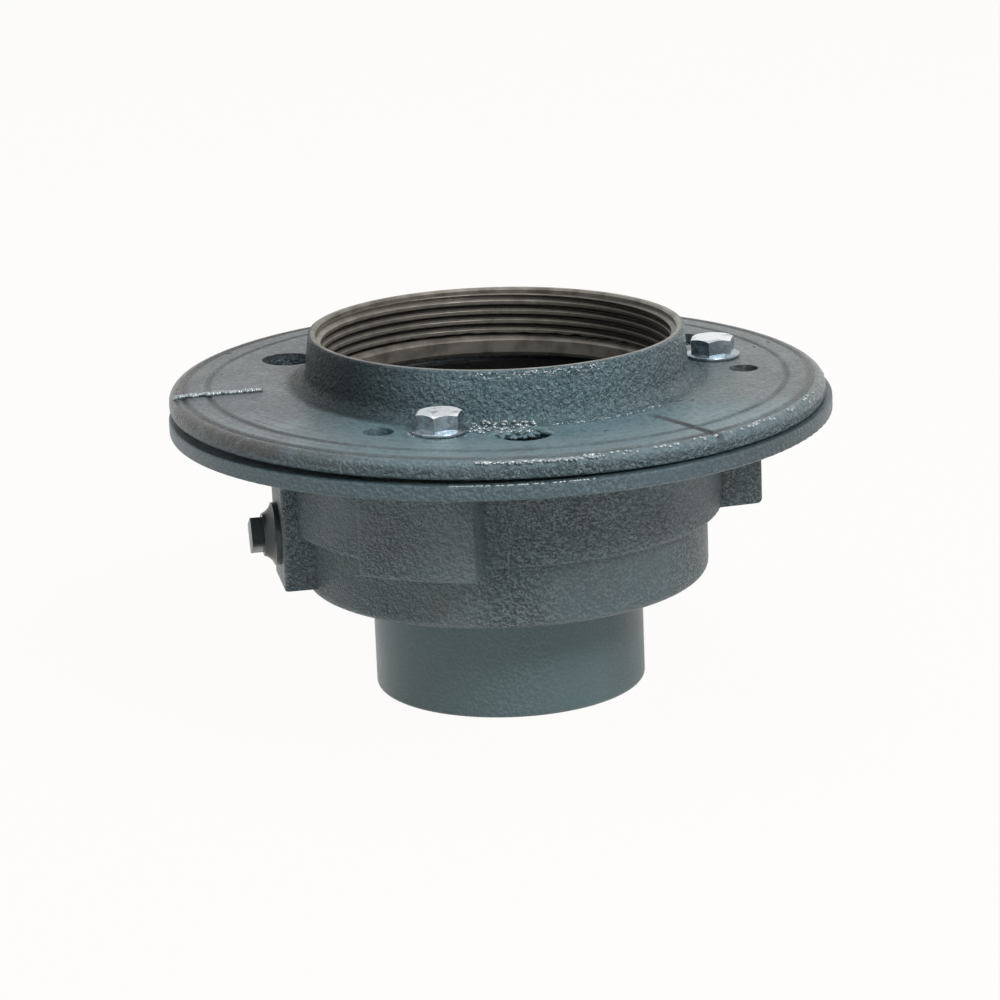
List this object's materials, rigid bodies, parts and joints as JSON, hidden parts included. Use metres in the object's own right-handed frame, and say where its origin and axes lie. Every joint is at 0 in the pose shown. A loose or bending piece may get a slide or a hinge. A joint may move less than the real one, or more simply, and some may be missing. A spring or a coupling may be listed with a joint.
{
  "type": "floor drain",
  "caption": "Cast iron floor drain body with a round anchor rim, a two-tier bowl and a plain outlet, under a bolted clamping collar whose threaded neck takes a strainer head.",
  "frame": {"origin": "centre of the outlet's end ring, which is the middle of the bounding box's underside", "axes": "+Z along the outlet's axis, up to the neck; +X to the right and +Y to the back as pictured"},
  "size_m": [0.2082, 0.2082, 0.1155],
  "materials": {
    "painted_iron": "semi-gloss slate paint over a rough cast skin",
    "zinc_steel": "bright zinc plate",
    "dark_iron": "dark oxide, slightly oiled"
  },
  "bodies": {
    "root": {"drain_body": "painted_iron", "clamping_collar": "painted_iron", "collar_bolt_1": "zinc_steel", "collar_bolt_2": "zinc_steel", "collar_bolt_3": "zinc_steel", "primer_plug": "dark_iron"}
  },
  "joints": []
}
